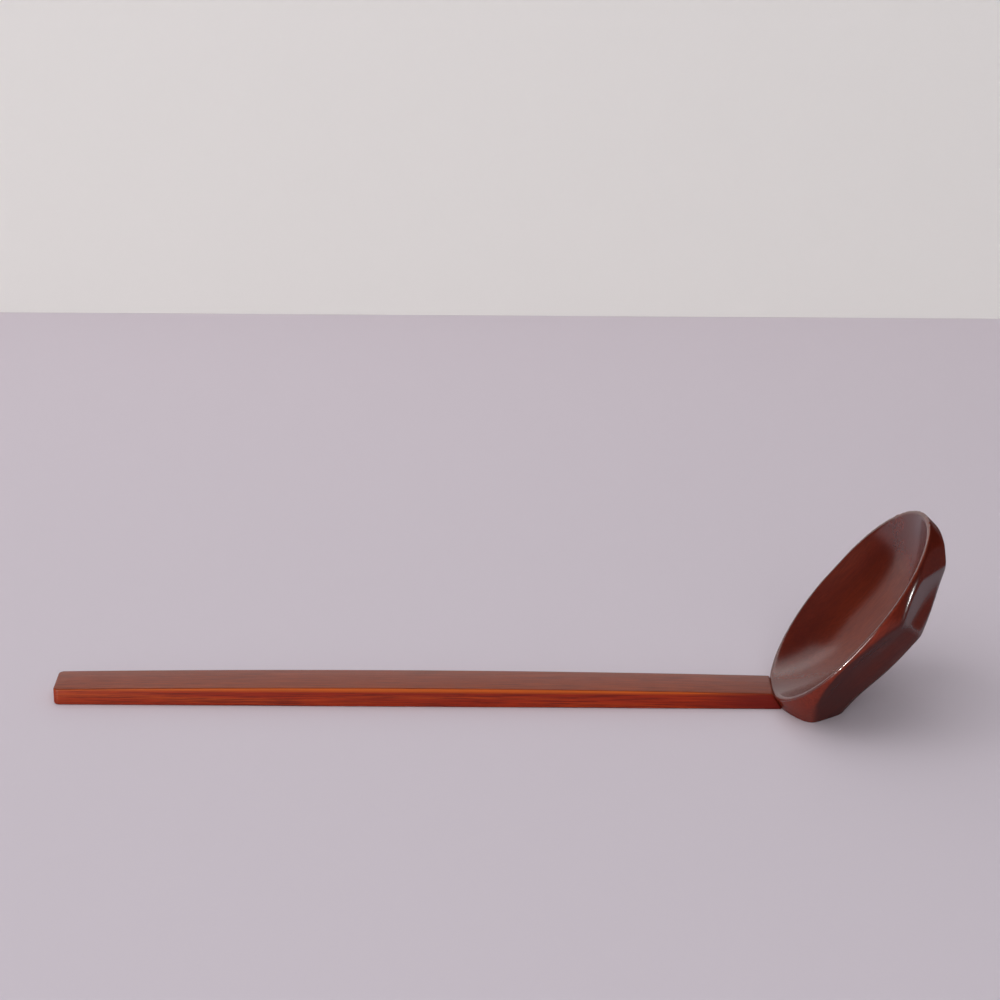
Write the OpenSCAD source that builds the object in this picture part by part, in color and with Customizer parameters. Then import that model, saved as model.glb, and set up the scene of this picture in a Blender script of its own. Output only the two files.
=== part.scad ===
// Wooden ladle: a carved bowl on a flat handle, glued together with a hidden tenon.
// It lies as it is put down on a table: the underside of the handle and the flat cut on the
// bowl's heel both rest on z = 0, and the bowl stands up at the +X end.
// Frame: +X from the handle's end to the bowl's tip, +Y across, +Z up, with the origin in the
// middle of the whole length at table height.

/* [Bowl] */
// Length of the rim over its outer edge, from the heel at the handle to the tip
rim_length = 65; // [54:0.5:78]
// Width of the rim over its outer edge
rim_width = 59; // [49:0.5:71]
// Thickness of the wall at the rim
lip_width = 1.8; // [1.5:0.1:2.4]
// Depth of the hollow below the rim
hollow_depth = 11.5; // [9:0.25:12]
// Depth of the outside below the rim, at the middle of the bottom facet
bottom_depth = 14.8; // [14.4:0.1:18]
// Angle between the bottom facet and the rim, which makes the bowl deeper at the heel
bottom_tilt = 7.5; // [4:0.5:10]
// Angle between the rim and the table
rim_tilt = 51; // [46:0.5:56]
// Height of the rim's outer edge over the table at the heel
heel_height = 3.4; // [2.8:0.1:4]
// Lean of the bowl's wall towards the handle, off square to the rim
wall_lean = 6; // [2:1:10]
// Lean of the fuller heel, where the handle joins on
heel_lean = 21; // [14:1:26]
// Radius of the fuller heel
heel_round = 19; // [16:0.5:22]

/* [Facets] */
// Band of wall between the rim and the top of each facet
facet_margin = 1; // [0.5:0.1:1.6]
// Turn of the two tip facets from the bowl's long axis, seen from above the rim
tip_facet_turn = 28; // [24:1:32]
// Angle between a tip facet and the rim
tip_facet_slope = 49; // [46:1:54]
// Turn of the two cheek facets, between the tip and the sides
cheek_facet_turn = 42; // [38:1:50]
// Angle between a cheek facet and the rim
cheek_facet_slope = 40.5; // [39:0.5:43]
// Turn of the two flank facets, at the sides
flank_facet_turn = 99; // [90:1:108]
// Angle between a flank facet and the rim
flank_facet_slope = 42.5; // [40:0.5:45]

/* [Handle] */
// Length of the handle along its underside, from its free end to the bowl
handle_length = 200; // [150:1:250]
// Width of the handle
handle_width = 12.7; // [10:0.1:16]
// Thickness of the handle at both ends
handle_thickness = 4.6; // [4.2:0.1:5.6]
// Extra thickness of the handle at the middle of its length
handle_crown = 1; // [0.4:0.1:2]
// Radius of the two corners at the free end, seen from above
handle_corner = 1.6; // [0.6:0.1:4]

/* [Joint] */
// Depth of the flat seat that is cut into the heel for the handle's end
seat_depth = 0.8; // [0.5:0.1:1.2]
// Length of the tenon inside the bowl, measured along its underside
tenon_length = 12; // [8:0.5:14.5]
// Width of the tenon
tenon_width = 9; // [6:0.5:10]
// Thickness of the tenon
tenon_thickness = 2.2; // [1.6:0.1:2.6]
// Wood between the tenon and the underside
tenon_cover = 1.2; // [1:0.1:1.4]
// Thickness of the glue round the tenon
glue_thickness = 0.15; // [0.1:0.05:0.2]

/* [Hidden] */
$fn = 128;

// A cutting block larger than the whole ladle
block = 3 * (handle_length + rim_length);
// Flat strips that make up the crowned top face
crown_steps = 24;

// Outline of the blank, square to its leaning wall: quarter rounds, drawn apart either along
// the bowl or across it
blank_length = rim_length * cos(wall_lean);
blank_round = min(blank_length, rim_width) / 2;
blank_stretch = [blank_length - 2 * blank_round, rim_width - 2 * blank_round];

// Opening of the hollow, drawn apart in the same way, and the sphere that it is carved with
opening_round = min(rim_length, rim_width) / 2 - lip_width;
opening_stretch = [rim_length, rim_width] - 2 * (opening_round + lip_width) * [1, 1];
hollow_radius = (pow(opening_round, 2) + pow(hollow_depth, 2)) / (2 * hollow_depth);

// Distance from the rim's middle to the tangent of its outer edge that faces a given turn
function rim_support(turn) =
    blank_round * norm([cos(turn) / cos(wall_lean), sin(turn)])
    + blank_stretch[0] / 2 * abs(cos(turn)) / cos(wall_lean)
    + blank_stretch[1] / 2 * abs(sin(turn));

// Point of the bottom, where the two tip facets meet the bottom facet: its distance from the
// rim's middle and its depth below the rim
point_run = rim_support(tip_facet_turn) - (bottom_depth - facet_margin) / tan(tip_facet_slope);
point_reach = point_run / (cos(tip_facet_turn) - tan(bottom_tilt) / tan(tip_facet_slope));
point_depth = bottom_depth - point_reach * tan(bottom_tilt);

// Distance of the heel's wall from the rim's middle, square to the wall
heel_reach = rim_length / 2 * cos(heel_lean);

// Place of the rim's middle, with the foot of the seat at x = 0 before the origin is moved
seat_reach = heel_reach - seat_depth;
seat_angle = rim_tilt - heel_lean;
rim_middle_z = heel_height + rim_length / 2 * sin(rim_tilt);
rim_middle_x = seat_reach / cos(seat_angle) - rim_middle_z * tan(seat_angle);
point_x = rim_middle_x + point_reach * cos(rim_tilt) + point_depth * sin(rim_tilt);
middle_x = (point_x - handle_length) / 2;

// From the rim's own frame: middle of the rim, +X to the tip, +Z out of the hollow
module on_rim() {
    translate([rim_middle_x, 0, rim_middle_z]) rotate([0, -rim_tilt, 0]) children();
}

// A copy at each corner of a stretch that is given along the bowl and across it
module at_corners(stretch) {
    for (side_x = [-1, 1], side_y = [-1, 1])
        translate([side_x * stretch[0] / 2, side_y * stretch[1] / 2, 0]) children();
}

module blank_outline() {
    at_corners(blank_stretch) circle(r = blank_round);
    if (blank_stretch[0] > 0)
        square([blank_stretch[0], 2 * blank_round], center = true);
    if (blank_stretch[1] > 0)
        square([2 * blank_round, blank_stretch[1]], center = true);
}

// Everything on the far side of a flat cut: below z = 0 before it is moved
module cut_away() {
    translate([-block / 2, -block / 2, -block]) cube(block);
}

// Blank with straight leaning walls, cut off level at the rim
module blank() {
    wall_height = 2 * rim_length;
    difference() {
        union() {
            rotate([0, wall_lean, 0])
                linear_extrude(height = wall_height, center = true) blank_outline();
            rotate([0, heel_lean, 0]) translate([heel_round - heel_reach, 0, 0])
                cylinder(r = heel_round, h = wall_height, center = true);
        }
        mirror([0, 0, 1]) cut_away();
    }
}

module facet_waste(turn, slope) {
    rotate([0, 0, turn])
        translate([rim_support(turn), 0, -facet_margin])
            rotate([0, -slope, 0]) cut_away();
}

module facets_waste() {
    for (side = [-1, 1]) {
        facet_waste(side * tip_facet_turn, tip_facet_slope);
        facet_waste(side * cheek_facet_turn, cheek_facet_slope);
        facet_waste(side * flank_facet_turn, flank_facet_slope);
    }
    translate([0, 0, -bottom_depth]) rotate([0, -bottom_tilt, 0]) cut_away();
}

module hollow() {
    translate([0, 0, hollow_radius - hollow_depth]) {
        at_corners(opening_stretch) sphere(r = hollow_radius);
        if (opening_stretch[0] > 0)
            rotate([0, 90, 0])
                cylinder(r = hollow_radius, h = opening_stretch[0], center = true);
        if (opening_stretch[1] > 0)
            rotate([90, 0, 0])
                cylinder(r = hollow_radius, h = opening_stretch[1], center = true);
    }
}

// The handle's side of the seat, where the bowl ends and the handle begins
module handle_side() {
    rotate([0, -90 - seat_angle, 0]) mirror([0, 0, 1]) cut_away();
}

// Tenon with a margin all round, from well inside the handle
module tenon(margin) {
    root = handle_width;
    translate([-root, -tenon_width / 2 - margin, tenon_cover - margin])
        cube([root + tenon_length + margin, tenon_width + 2 * margin,
              tenon_thickness + 2 * margin]);
}

module bowl() {
    color([0.36, 0.13, 0.09])
        translate([-middle_x, 0, 0]) difference() {
            on_rim() difference() {
                blank();
                facets_waste();
                hollow();
            }
            cut_away();
            handle_side();
            tenon(glue_thickness);
        }
}

// Thickness of the handle at a share of its length from 0 to 1
function thickness_at(share) = handle_thickness + 4 * handle_crown * share * (1 - share);

// Bar with a crowned top, rounded at the two corners of its free end
module handle_bar() {
    overrun = handle_width;
    intersection() {
        rotate([90, 0, 0]) linear_extrude(height = handle_width, center = true)
            polygon([
                [overrun, 0],
                [-handle_length, 0],
                for (step = [0:crown_steps])
                    let (share = step / crown_steps)
                        [-handle_length * (1 - share), thickness_at(share)],
                [overrun, handle_thickness]
            ]);
        linear_extrude(height = 4 * handle_thickness) union() {
            for (side = [-1, 1])
                translate([-handle_length + handle_corner,
                           side * (handle_width / 2 - handle_corner)])
                    circle(r = handle_corner);
            translate([-handle_length + handle_corner, -handle_width / 2])
                square([handle_length + overrun, handle_width]);
            translate([-handle_length, -handle_width / 2 + handle_corner])
                square([handle_length, handle_width - 2 * handle_corner]);
        }
    }
}

module handle() {
    color([0.60, 0.24, 0.15])
        translate([-middle_x, 0, 0]) {
            intersection() {
                handle_bar();
                handle_side();
            }
            tenon(0);
        }
}

module joint_glue() {
    color([0.80, 0.62, 0.32])
        translate([-middle_x, 0, 0]) difference() {
            tenon(glue_thickness);
            tenon(0);
            handle_side();
        }
}

bowl();
handle();
joint_glue();
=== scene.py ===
import math

import bmesh
import bpy
import numpy as np
from mathutils import Matrix, Vector


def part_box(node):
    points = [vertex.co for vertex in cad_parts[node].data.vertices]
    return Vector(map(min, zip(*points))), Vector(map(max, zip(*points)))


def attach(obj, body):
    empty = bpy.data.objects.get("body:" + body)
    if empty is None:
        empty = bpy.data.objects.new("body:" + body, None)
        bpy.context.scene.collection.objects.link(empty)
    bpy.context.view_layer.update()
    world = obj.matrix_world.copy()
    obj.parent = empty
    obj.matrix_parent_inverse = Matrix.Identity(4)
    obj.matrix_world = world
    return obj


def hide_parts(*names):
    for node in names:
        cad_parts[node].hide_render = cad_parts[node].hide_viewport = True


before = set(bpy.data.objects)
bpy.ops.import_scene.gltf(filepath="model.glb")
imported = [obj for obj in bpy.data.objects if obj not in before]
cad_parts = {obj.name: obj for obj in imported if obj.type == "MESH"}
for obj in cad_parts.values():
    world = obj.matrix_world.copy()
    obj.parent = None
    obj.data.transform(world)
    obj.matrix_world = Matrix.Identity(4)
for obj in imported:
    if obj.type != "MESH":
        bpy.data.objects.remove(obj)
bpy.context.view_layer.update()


# ---------------------------------------------------------------------------------------------
# The bowl: one block of close-grained hardwood, with its heel left fuller for the handle.
# The outside is pared down by hand with a knife into large flat facets, the hollow is scraped
# smooth, and all of it is wiped with a red-brown lacquer that leaves the edges soft.

mm = 0.001
bowl_low, bowl_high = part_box("bowl")
rim_length = 65 * mm
rim_width = 59 * mm
rim_tilt = math.radians(51)
rim_to_tip = 25.31 * mm
rim_to_top = 25.257 * mm
rim_middle = Vector((bowl_high.x - rim_to_tip, 0, bowl_high.z - rim_to_top))
wall_lean = math.radians(6)
blank_round = rim_width / 2
blank_stretch = rim_length * math.cos(wall_lean) - rim_width
heel_lean = math.radians(21)
heel_round = 19 * mm
# Of each pair of facets: the turn from the bowl's long axis, the slope off the rim, and the band
# of wall that is left between the rim and the facet
facet_cuts = [(36, 59, 1 * mm), (48.5, 44.6, 2.1 * mm), (99, 42.5, 1 * mm)]
point_slope = math.radians(45.4)
point_margin = 5 * mm
bottom_depth = 14.8 * mm
bottom_tilt = math.radians(7.5)
hollow_depth = 11.5 * mm
lip_width = 1.25 * mm
opening_round = blank_round - lip_width
hollow_round = (opening_round ** 2 + hollow_depth ** 2) / (2 * hollow_depth)
hollow_stretch = rim_length - rim_width
bottom_swelling = 1.35 * mm
heel_overhang = 2.348 * mm
seat_foot = Vector((bowl_low.x + heel_overhang, 0, 0))
seat_lean = math.radians(30)
seat_outward = Vector((-math.cos(seat_lean), 0, -math.sin(seat_lean)))


def newly_made(name):
    """The primitive that was just added, under its own name and in edit mode."""
    piece = bpy.context.object
    piece.name = name
    piece.data.name = name
    bpy.ops.object.mode_set(mode="EDIT")
    return piece


def mark(kind, fits):
    """Selects the vertices, edges or faces that fit, and nothing else."""
    bpy.ops.mesh.select_mode(type=kind)
    bpy.ops.mesh.select_all(action="DESELECT")
    shape = bmesh.from_edit_mesh(bpy.context.object.data)
    parts = {"VERT": shape.verts, "EDGE": shape.edges, "FACE": shape.faces}[kind]
    for part in parts:
        if fits(part):
            part.select_set(True)
    shape.select_flush_mode()
    bmesh.update_edit_mesh(bpy.context.object.data)


def draw_apart(stretch):
    """Moves the two ends of a round away from each other, along X."""
    for end in (-1, 1):
        mark("VERT", lambda vertex: end * vertex.co.x > 1e-6)
        bpy.ops.transform.translate(value=(end * stretch / 2, 0, 0))


def pare(point, outward):
    """Cuts away all that lies past a flat cut, and closes it."""
    bpy.ops.mesh.select_mode(type="VERT")
    bpy.ops.mesh.select_all(action="SELECT")
    bpy.ops.mesh.bisect(
        plane_co=point, plane_no=outward, use_fill=True, clear_outer=True, threshold=1e-8
    )


def settle(piece, turn=(0, 0, 0), place=(0, 0, 0)):
    """Turns and moves a piece, and keeps that in its mesh."""
    if bpy.context.mode != "OBJECT":
        bpy.ops.object.mode_set(mode="OBJECT")
    bpy.ops.object.select_all(action="DESELECT")
    piece.select_set(True)
    bpy.context.view_layer.objects.active = piece
    piece.rotation_euler = turn
    piece.location = place
    bpy.ops.object.transform_apply(location=True, rotation=True, scale=True)


def finish_with(piece, kind, **values):
    """Adds one modifier to a piece and applies it."""
    bpy.ops.object.select_all(action="DESELECT")
    piece.select_set(True)
    bpy.context.view_layer.objects.active = piece
    made = piece.modifiers.new(kind.lower(), kind)
    for name, value in values.items():
        setattr(made, name, value)
    bpy.ops.object.modifier_apply(modifier=made.name)


def combine(piece, other, operation):
    """Joins another solid to a piece or cuts it out, and throws the other one away."""
    finish_with(piece, "BOOLEAN", object=other, operation=operation, solver="EXACT")
    bpy.data.objects.remove(other)


bpy.ops.object.select_all(action="DESELECT")
bpy.ops.mesh.primitive_cylinder_add(vertices=180, radius=blank_round, depth=2 * rim_length)
bowl = newly_made("bowl_carved")
draw_apart(blank_stretch)
settle(bowl, turn=(0, wall_lean, 0))

bpy.ops.mesh.primitive_cylinder_add(
    vertices=120,
    radius=heel_round,
    depth=2 * rim_length,
    location=(heel_round - rim_length / 2 * math.cos(heel_lean), 0, 0),
)
heel = newly_made("bowl_heel")
bpy.ops.object.mode_set(mode="OBJECT")
bpy.ops.object.transform_apply(location=True, rotation=True, scale=True)
settle(heel, turn=(0, heel_lean, 0))
combine(bowl, heel, "UNION")

bpy.ops.object.mode_set(mode="EDIT")
pare((0, 0, 0), (0, 0, 1))
for turn_degrees, slope_degrees, facet_margin in facet_cuts:
    for side in (-1, 1):
        turn = math.radians(side * turn_degrees)
        slope = math.radians(slope_degrees)
        across = Vector((math.cos(turn), math.sin(turn), 0))
        reach = (
            blank_round * math.hypot(math.cos(turn) / math.cos(wall_lean), math.sin(turn))
            + blank_stretch / 2 * abs(math.cos(turn)) / math.cos(wall_lean)
        )
        pare(
            across * reach - Vector((0, 0, facet_margin)),
            across * math.sin(slope) - Vector((0, 0, math.cos(slope))),
        )
pare(
    (rim_length / 2, 0, -point_margin), (math.sin(point_slope), 0, -math.cos(point_slope))
)
pare((0, 0, -bottom_depth), (math.sin(bottom_tilt), 0, -math.cos(bottom_tilt)))
bpy.ops.object.mode_set(mode="OBJECT")

bpy.ops.mesh.primitive_uv_sphere_add(
    segments=180, ring_count=90, radius=hollow_round, location=(0, 0, 0)
)
hollow = newly_made("bowl_hollow")
draw_apart(hollow_stretch)
settle(hollow, place=(0, 0, hollow_round - hollow_depth))
combine(bowl, hollow, "DIFFERENCE")

# Scraping and lacquer leave the lip narrow and rounded and the ridges softer. The knife went
# over the tip and the underside of the heel most often, so those are the roundest.
finish_with(bowl, "REMESH", mode="VOXEL", voxel_size=0.36 * mm, adaptivity=0)
finish_with(bowl, "SMOOTH", factor=0.5, iterations=9)


def rise(value, low, high):
    """0 below low, 1 above high, and a soft step in between."""
    share = min(max((value - low) / (high - low), 0), 1)
    return share * share * (3 - 2 * share)


def outside(point):
    """0 at the surface of the hollow, and 1 from 1.8 mm outside it."""
    along = min(max(point.x, -hollow_stretch / 2), hollow_stretch / 2)
    middle = Vector((along, 0, hollow_round - hollow_depth))
    return rise((point - middle).length - hollow_round, 0.8 * mm, 1.8 * mm)


def near_bottom(point):
    """1 in the middle of the underside, and less towards its edges."""
    return (
        outside(point)
        * rise(-point.z, 7 * mm, 12.5 * mm)
        * (1 - rise(abs(point.x - 4 * mm), 7 * mm, 23 * mm))
    )


def on_ridges(point):
    """1 all over the facets, and 0 in the band of wall under the rim."""
    return outside(point) * rise(-point.z, 1.0 * mm, 3.5 * mm)


def under_heel(point):
    """1 on the lower part of the heel, and 0 past the middle of the bowl."""
    return outside(point) * rise(-point.z, 3.5 * mm, 8 * mm) * rise(-point.x, -2 * mm, 10 * mm)


def round_tip(point):
    """1 on the outside of the tip."""
    return outside(point) * rise(-point.z, 0.8 * mm, 3 * mm) * rise(point.x, 16 * mm, 27 * mm)


def finish_in_part(piece, share, kind, **values):
    """Applies a modifier as far as the share of it that each place gets."""
    group = piece.vertex_groups.new(name=share.__name__)
    for vertex in piece.data.vertices:
        group.add([vertex.index], share(vertex.co), "REPLACE")
    finish_with(piece, kind, vertex_group=share.__name__, **values)
    piece.vertex_groups.remove(piece.vertex_groups[share.__name__])


finish_in_part(
    bowl, near_bottom, "DISPLACE", direction="Z", mid_level=0, strength=-bottom_swelling
)
for place_on_bowl, passes in ((on_ridges, 30), (under_heel, 220), (round_tip, 90)):
    finish_in_part(bowl, place_on_bowl, "SMOOTH", factor=0.5, iterations=passes)

# The finished bowl is cut flat where it lies on the table and where the handle is glued on.
settle(bowl, turn=(0, -rim_tilt, 0), place=rim_middle)
bpy.ops.object.mode_set(mode="EDIT")
pare((0, 0, 0), (0, 0, -1))
pare(seat_foot, seat_outward)
bpy.ops.object.mode_set(mode="OBJECT")


def block_between(name, low, high):
    """A square block between two of its corners."""
    bpy.ops.object.select_all(action="DESELECT")
    bpy.ops.mesh.primitive_cube_add(size=1)
    block = newly_made(name)
    bpy.ops.transform.resize(value=high - low)
    settle(block, place=(low + high) / 2)
    return block


# The mortise is as large as the glue, and is cut right through the seat's face.
mortise_low, mortise_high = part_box("joint_glue")
mortise_low.x = seat_foot.x - 6 * mm
combine(bowl, block_between("mortise", mortise_low, mortise_high), "DIFFERENCE")
bpy.ops.object.shade_smooth_by_angle(angle=math.radians(50))


def note_wear(piece, reach):
    """Keeps on each vertex how far it stands proud of those round it, as wear finds it."""
    count = len(piece.data.vertices)
    places = np.zeros(count * 3)
    normals = np.zeros(count * 3)
    pairs = np.zeros(len(piece.data.edges) * 2, int)
    piece.data.vertices.foreach_get("co", places)
    piece.data.vertices.foreach_get("normal", normals)
    piece.data.edges.foreach_get("vertices", pairs)
    places, normals, pairs = places.reshape(-1, 3), normals.reshape(-1, 3), pairs.reshape(-1, 2)
    neighbours = np.maximum(np.bincount(pairs.ravel(), minlength=count), 1)
    lines = places[pairs[:, 0]] - places[pairs[:, 1]]
    lines /= np.maximum(np.linalg.norm(lines, axis=1), 1e-9)[:, None]
    proud = np.bincount(pairs[:, 0], (lines * normals[pairs[:, 0]]).sum(1), count)
    proud -= np.bincount(pairs[:, 1], (lines * normals[pairs[:, 1]]).sum(1), count)
    proud /= neighbours
    for _ in range(reach):
        spread = np.bincount(pairs[:, 0], proud[pairs[:, 1]], count)
        spread += np.bincount(pairs[:, 1], proud[pairs[:, 0]], count)
        proud = (proud + spread / neighbours) / 2
    noted = piece.data.attributes.new("wear", "FLOAT", "POINT")
    noted.data.foreach_set("value", proud.astype(np.float32))


note_wear(bowl, 12)


class Layer:
    """One socket of a finish. Sums and products on it add Math nodes."""

    def __init__(self, tree, socket):
        self.tree = tree
        self.socket = socket

    def node(self, kind, settings=None, values=None, output=0):
        """Adds any other node: its settings first, and then its values and links."""
        made = self.tree.nodes.new(kind)
        for name, value in (settings or {}).items():
            if name == "stops":
                while len(made.color_ramp.elements) < len(value):
                    made.color_ramp.elements.new(0.5)
                for stop, (place, colour) in zip(made.color_ramp.elements, value):
                    stop.position = place
                    stop.color = (*colour, 1)
            else:
                setattr(made, name, value)
        for name, value in (values or {}).items():
            if isinstance(value, Layer):
                self.tree.links.new(value.socket, made.inputs[name])
            else:
                made.inputs[name].default_value = value
        return Layer(self.tree, made.outputs[output])

    def maths(self, operation, *values):
        return self.node("ShaderNodeMath", {"operation": operation}, dict(enumerate(values)))

    def __add__(self, other):
        return self.maths("ADD", self, other)

    __radd__ = __add__

    def __mul__(self, other):
        return self.maths("MULTIPLY", self, other)

    __rmul__ = __mul__

    def __sub__(self, other):
        return self.maths("SUBTRACT", self, other)

    def __rsub__(self, other):
        return self.maths("SUBTRACT", other, self)

    def between(self, low, high):
        """0 below low, 1 above high, and a soft step in between."""
        return self.node(
            "ShaderNodeMapRange",
            {"interpolation_type": "SMOOTHSTEP", "clamp": True},
            {"Value": self, "From Min": low, "From Max": high},
        )

    def tint(self, first, second, blend="MIX"):
        """The first colour where this mask is 0, and the second one where it is 1."""
        made = self.tree.nodes.new("ShaderNodeMix")
        made.data_type = "RGBA"
        made.blend_type = blend
        self.tree.links.new(self.socket, made.inputs[0])
        for slot, colour in ((6, first), (7, second)):
            if isinstance(colour, Layer):
                self.tree.links.new(colour.socket, made.inputs[slot])
            else:
                made.inputs[slot].default_value = (*colour, 1)
        return Layer(self.tree, made.outputs[2])


def new_finish(name):
    """An empty material: the layer that its patterns start from, and its shader's sockets."""
    material = bpy.data.materials.new(name)
    material.use_nodes = True
    tree = material.node_tree
    shader = tree.nodes["Principled BSDF"]
    place = tree.nodes.new("ShaderNodeTexCoord")
    return material, Layer(tree, place.outputs["Object"]), shader


def lay_on(shader, **layers):
    """Sets or links the shader's sockets, with _ for each space in their names."""
    for name, value in layers.items():
        socket = shader.inputs[name.replace("_", " ")]
        if isinstance(value, Layer):
            value.tree.links.new(value.socket, socket)
        else:
            socket.default_value = value


bowl_lacquer, place, shader = new_finish("bowl_lacquer")
upright = place.node(
    "ShaderNodeMapping",
    {"vector_type": "TEXTURE"},
    {"Vector": place, "Location": rim_middle, "Rotation": (0, -rim_tilt, 0)},
)
figure = upright.node(
    "ShaderNodeTexNoise",
    values={
        "Vector": upright.node(
            "ShaderNodeVectorMath", {"operation": "MULTIPLY"}, {0: upright, 1: (0.35, 1, 1.6)}
        ),
        "Scale": 60,
        "Detail": 4,
        "Roughness": 0.55,
    },
)
pores = upright.node(
    "ShaderNodeTexNoise",
    values={
        "Vector": upright.node(
            "ShaderNodeVectorMath", {"operation": "MULTIPLY"}, {0: upright, 1: (0.10, 1, 1)}
        ),
        "Scale": 2200,
        "Detail": 3,
        "Roughness": 0.6,
    },
)
wood = figure.node(
    "ShaderNodeValToRGB",
    {
        "stops": [
            (0.3, (0.062, 0.006, 0.0035)),
            (0.5, (0.10, 0.0105, 0.0045)),
            (0.7, (0.145, 0.018, 0.0055)),
        ]
    },
    {"Fac": figure},
)
worn = place.node(
    "ShaderNodeAttribute", {"attribute_name": "wear"}, output="Fac"
).between(0.04, 0.16)
facing = place.node("ShaderNodeNewGeometry", output="Normal")
mouth_side = facing.node(
    "ShaderNodeVectorMath",
    {"operation": "DOT_PRODUCT"},
    {0: facing, 1: (-math.sin(rim_tilt), 0, math.cos(rim_tilt))},
    output="Value",
).between(0.15, 0.5)
turned = place.node("ShaderNodeSeparateXYZ", values={"Vector": facing}, output="X")
raised = place.node("ShaderNodeSeparateXYZ", values={"Vector": facing}, output="Z")
cheek_side = turned.between(0.45, 0.85) * (1 - raised.between(-0.06, 0.04))
tip_side = turned.between(0.55, 0.9) * raised.between(-0.06, 0.04)
# Outside faces turned to the left, towards the window: they are given a painted lighter brown
# below.
painted_lit_side = turned.between(0.5, -0.05) * (1 - mouth_side)
underneath = raised.between(-0.6, -0.85)
depth = upright.node(
    "ShaderNodeVectorMath", {"operation": "LENGTH"}, {0: upright}, output="Value"
).between(0.030, 0.012)
# Painted shade: the outside of the bowl is painted darker and more purple than the hollow.
lacquer_and_painted_light = (0.3 - 0.3 * mouth_side).tint(wood, (0.035, 0.010, 0.010))
# Painted light: the outside faces turned to the window, and a little the tip facets, are painted
# a lighter brown.
lacquer_and_painted_light = (painted_lit_side * 0.7 + tip_side * (1 - mouth_side) * 0.3).tint(lacquer_and_painted_light, (0.27, 0.030, 0.010))
lacquer_and_painted_light = (mouth_side * depth * 0.5).tint(lacquer_and_painted_light, (0.19, 0.026, 0.006))
lacquer_and_painted_light = (0.35 * pores.between(0.62, 0.38)).tint(lacquer_and_painted_light, (0.05, 0.007, 0.004))
lay_on(
    shader,
    Base_Color=(worn * (1 - mouth_side) * 0.4 + worn * mouth_side * 0.8).tint(
        lacquer_and_painted_light, (0.28, 0.07, 0.04)
    ),
    Roughness=0.36 + figure * 0.2,
    Coat_Weight=0.3
    + mouth_side * 0.7
    - mouth_side * depth * 0.5
    + cheek_side * 0.4
    + underneath * 0.5
    - tip_side * 0.22,
    Coat_Roughness=0.19,
    Coat_IOR=1.7,
    Specular_IOR_Level=0.0,
    Normal=place.node(
        "ShaderNodeBump",
        values={"Strength": 0.10, "Distance": 0.0002, "Height": pores * 0.3 + figure},
    ),
)
bowl.data.materials.clear()
bowl.data.materials.append(bowl_lacquer)
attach(bowl, "root")
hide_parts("bowl")


# ---------------------------------------------------------------------------------------------
# The handle: a plain flat lath of straight-grained wood, a little thicker in its middle.
# Its long edges are eased with a plane, the two far corners are rounded, and the near end is
# sawn on the slant to fit the seat on the bowl's heel, where a hidden tenon is glued in.

handle_low, handle_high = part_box("handle")
handle_width = handle_high.y - handle_low.y
handle_start = handle_low.x
handle_length = seat_foot.x - handle_start
handle_thickness = 4.6 * mm
handle_crown = 1 * mm
handle_corner = 1.6 * mm
tenon_width = 9 * mm
tenon_bottom = 1.2 * mm
tenon_thickness = 2.2 * mm

bpy.ops.object.select_all(action="DESELECT")
bpy.ops.mesh.primitive_cube_add(size=1)
handle = newly_made("handle_lath")
overlength = 4 * mm
handle_blank = handle_length + overlength
bpy.ops.transform.resize(value=(handle_blank, handle_width, handle_thickness))
bpy.ops.transform.translate(
    value=(handle_start + handle_blank / 2, 0, handle_thickness / 2)
)
crown_stations = 40
for station in range(1, crown_stations + 1):
    bpy.ops.mesh.select_all(action="SELECT")
    bpy.ops.mesh.bisect(
        plane_co=(handle_start + handle_length * station / crown_stations, 0, 0),
        plane_no=(1, 0, 0),
        threshold=1e-8,
    )
for station in range(1, crown_stations):
    share = station / crown_stations
    mark(
        "VERT",
        lambda vertex: vertex.co.z > handle_thickness / 2
        and abs(vertex.co.x - handle_start - handle_length * share) < 1e-5,
    )
    bpy.ops.transform.translate(value=(0, 0, 4 * handle_crown * share * (1 - share)))


def upright_corner(edge):
    """The two upright edges at the far end of the handle."""
    ends = [vertex.co for vertex in edge.verts]
    return (
        max(end.x for end in ends) < handle_start + 1e-6
        and abs(ends[0].y - ends[1].y) < 1e-6
        and abs(ends[0].z - ends[1].z) > 1e-4
    )


def long_edge(edge):
    """The edges that run along the handle and round its far end, between top and sides."""
    return edge.calc_face_angle(0) > math.radians(60)


def on_seat(edge):
    """The edges of the slanted end that is glued to the seat."""
    return all(abs((vertex.co - seat_foot).dot(seat_outward)) < 1e-6 for vertex in edge.verts)


mark("EDGE", upright_corner)
bpy.ops.mesh.bevel(offset=handle_corner, segments=10, affect="EDGES")
mark("EDGE", long_edge)
bpy.ops.mesh.bevel(offset=0.45 * mm, segments=4, affect="EDGES")
pare(seat_foot, -seat_outward)
mark("EDGE", on_seat)
bpy.ops.mesh.bevel(offset=0.15 * mm, segments=2, affect="EDGES")
bpy.ops.object.mode_set(mode="OBJECT")
tenon = block_between(
    "tenon",
    Vector((seat_foot.x - 6 * mm, -tenon_width / 2, tenon_bottom)),
    Vector((handle_high.x, tenon_width / 2, tenon_bottom + tenon_thickness)),
)
combine(handle, tenon, "UNION")
finish_with(handle, "WEIGHTED_NORMAL", keep_sharp=True)
bpy.ops.object.shade_smooth_by_angle(angle=math.radians(50))

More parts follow.
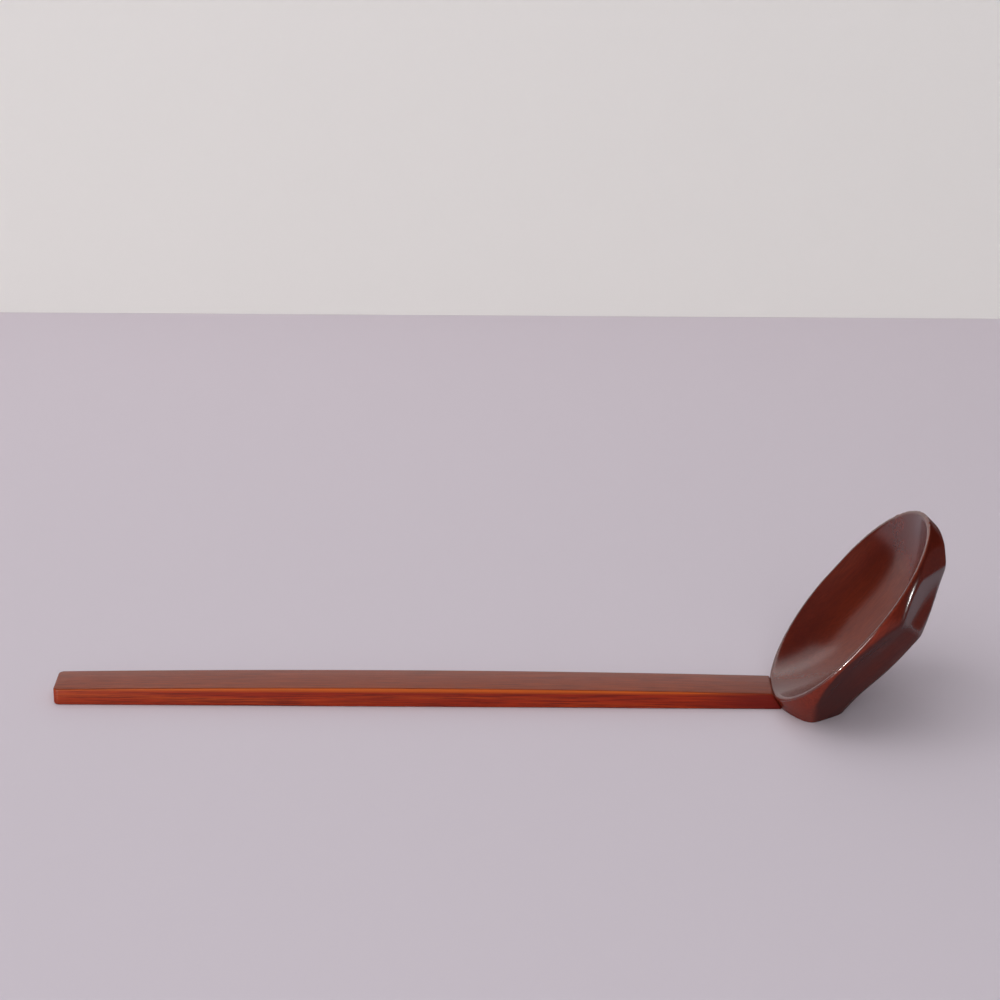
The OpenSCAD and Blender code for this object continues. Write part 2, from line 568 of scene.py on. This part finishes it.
handle_lacquer, place, shader = new_finish("handle_lacquer")
along = place.node(
    "ShaderNodeVectorMath", {"operation": "MULTIPLY"}, {0: place, 1: (0.016, 1, 1)}
)
streaks = along.node(
    "ShaderNodeTexNoise",
    values={"Vector": along, "Scale": 5000, "Detail": 4, "Roughness": 0.7},
)
figure = along.node(
    "ShaderNodeTexNoise",
    values={"Vector": along, "Scale": 700, "Detail": 3, "Roughness": 0.5},
)
facing = place.node("ShaderNodeNewGeometry", output="Normal")
facing_up = place.node(
    "ShaderNodeSeparateXYZ", values={"Vector": facing}, output="Z"
).between(0.4, 0.8)
height = place.node("ShaderNodeSeparateXYZ", values={"Vector": place}, output="Z")
distance = place.node("ShaderNodeSeparateXYZ", values={"Vector": place}, output="X")
side_wood = figure.node(
    "ShaderNodeValToRGB",
    {
        "stops": [
            (0.3, (0.28, 0.014, 0.002)),
            (0.5, (0.36, 0.026, 0.0025)),
            (0.7, (0.46, 0.065, 0.004)),
        ]
    },
    {"Fac": figure},
)
side = (0.9 * streaks.between(0.56, 0.40)).tint(side_wood, (0.14, 0.008, 0.002))
# The top strip of the side is painted bright orange: partly thinner lacquer on the edge, partly a
# painted highlight.
thin_lacquer_and_highlight_edge = height.between(3.9 * mm, 5.0 * mm) * 0.7
paler_end = distance.between(handle_start + 45 * mm, handle_start) * 0.15
# Painted shade: the side and the top are painted darker towards the joint, where the bowl shades
# them.
painted_joint_shade = distance.between(seat_foot.x - 26 * mm, seat_foot.x - 4 * mm) * 0.8
side = paler_end.tint(side, (0.46, 0.066, 0.004))
# Thinner lacquer and painted highlight along the top edge of the side.
side = thin_lacquer_and_highlight_edge.tint(side, (0.62, 0.12, 0.007))
# Painted shade on the side near the joint.
side = painted_joint_shade.tint(side, (0.14, 0.006, 0.003))
top = (0.85 * streaks.between(0.57, 0.38)).tint((0.26, 0.038, 0.005), (0.13, 0.018, 0.004))
# Painted shade on the top near the joint.
top = (painted_joint_shade * 0.45).tint(top, (0.11, 0.012, 0.004))
lay_on(
    shader,
    Base_Color=facing_up.tint(side, top),
    Roughness=0.42 + figure * 0.2,
    Coat_Weight=0.12 + facing_up * 0.48,
    Coat_Roughness=0.2,
    Coat_IOR=1.45,
    Specular_IOR_Level=0.08,
    Normal=place.node(
        "ShaderNodeBump",
        values={"Strength": 0.2, "Distance": 0.0002, "Height": streaks + figure},
    ),
)
handle.data.materials.clear()
handle.data.materials.append(handle_lacquer)
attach(handle, "root")
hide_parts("handle")


# ---------------------------------------------------------------------------------------------
# The glue: a thin skin of amber wood glue all round the tenon, inside the mortise in the heel.
# It was brushed on before the tenon was pushed in, and it holds the handle on.

glue, place, shader = new_finish("joint_glue")
blotches = place.node("ShaderNodeTexNoise", values={"Vector": place, "Scale": 700, "Detail": 3})
lay_on(
    shader,
    Base_Color=blotches.tint((0.55, 0.33, 0.10), (0.78, 0.58, 0.26)),
    Roughness=0.3 + blotches * 0.3,
    Normal=place.node(
        "ShaderNodeBump", values={"Strength": 0.2, "Distance": 0.0001, "Height": blotches}
    ),
)
glue_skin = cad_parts["joint_glue"]
glue_skin.data.materials.clear()
glue_skin.data.materials.append(glue)


# ---------------------------------------------------------------------------------------------
# The table and the wall behind it, both painted a flat pale colour. The wall stands close
# behind the ladle, so it hides the ladle from a camera that stands behind the wall.

wall_distance = 0.37
wall_height = 0.42
wall_left = -0.55
wall_right = 0.30
table_size = 4
table_gap = 0.05 * mm
bpy.ops.object.select_all(action="DESELECT")
bpy.ops.mesh.primitive_plane_add(size=table_size)
table_top = newly_made("table_top")
settle(table_top, place=(0, 0, -table_gap))
bpy.ops.mesh.primitive_plane_add(
    size=1,
    location=((wall_left + wall_right) / 2, wall_distance, wall_height / 2),
    rotation=(math.radians(90), 0, 0),
)
wall = newly_made("wall")
bpy.ops.transform.resize(value=(wall_right - wall_left, 1, wall_height))
bpy.ops.object.mode_set(mode="OBJECT")

table_paint, place, shader = new_finish("table_paint")
lay_on(shader, Base_Color=(0.675, 0.608, 0.665, 1), Roughness=0.8, Specular_IOR_Level=0.1)
table_top.data.materials.append(table_paint)
wall_paint, place, shader = new_finish("wall_paint")
lay_on(shader, Base_Color=(0.89, 0.87, 0.835, 1), Roughness=0.9, Specular_IOR_Level=0.1)
wall.data.materials.append(wall_paint)


# ---------------------------------------------------------------------------------------------
# Soft daylight from a window on the left, from the front and from the ceiling, in a room that
# is dim elsewhere. The panes give no diffuse light and are only mirrored: in the lacquer, and
# from the sides also as a glare on the table.

room = bpy.data.worlds.new("room")
bpy.context.scene.world = room
room.use_nodes = True
room.node_tree.nodes["Background"].inputs["Color"].default_value = (0.85, 0.85, 0.90, 1)
room.node_tree.nodes["Background"].inputs["Strength"].default_value = 0.26
room.cycles_visibility.glossy = False


light_target = Vector((0.03, 0, 0.01))


def hang_light(name, place, size, power, mirrored):
    """A square light that faces the ladle, and either lights it or is only mirrored in things."""
    bpy.ops.object.light_add(type="AREA", location=place)
    light = bpy.context.object
    light.name = name
    light.data.shape = "SQUARE"
    light.data.size = size
    light.data.energy = power
    light.visible_glossy = mirrored
    light.visible_diffuse = not mirrored
    facing_target = (light_target - light.location).to_track_quat("-Z", "Y")
    light.rotation_euler = facing_target.to_euler()


hang_light("window", (-1.05, -0.56, 1.07), 2.1, 12.8, False)
hang_light("ceiling", (-0.2, 0.25, 1.9), 2, 8.5, False)
hang_light("front_window", (0.1, -1.7, 0.9), 1.5, 12, False)
hang_light("left_pane", (-0.72, -0.83, 0.09), 0.16, 30, True)
hang_light("right_pane", (0.97, -0.34, 0.09), 0.15, 8, True)
hang_light("back_pane", (-0.03, 0.36, 0.30), 0.3, 0.22, True)

camera_fall = math.radians(20.36)
camera_roll = math.radians(0.37)
bpy.ops.object.camera_add(location=(0.0009, -0.7074, 0.3210))
camera = bpy.context.object
camera.data.sensor_width = 36
camera.data.lens = 100.8
camera.data.dof.use_dof = False
camera.rotation_euler = (math.radians(90) - camera_fall, 0, 0)
camera.matrix_world = camera.matrix_basis @ Matrix.Rotation(camera_roll, 4, "Z")
bpy.context.scene.camera = camera
bpy.context.scene.view_settings.view_transform = "Standard"
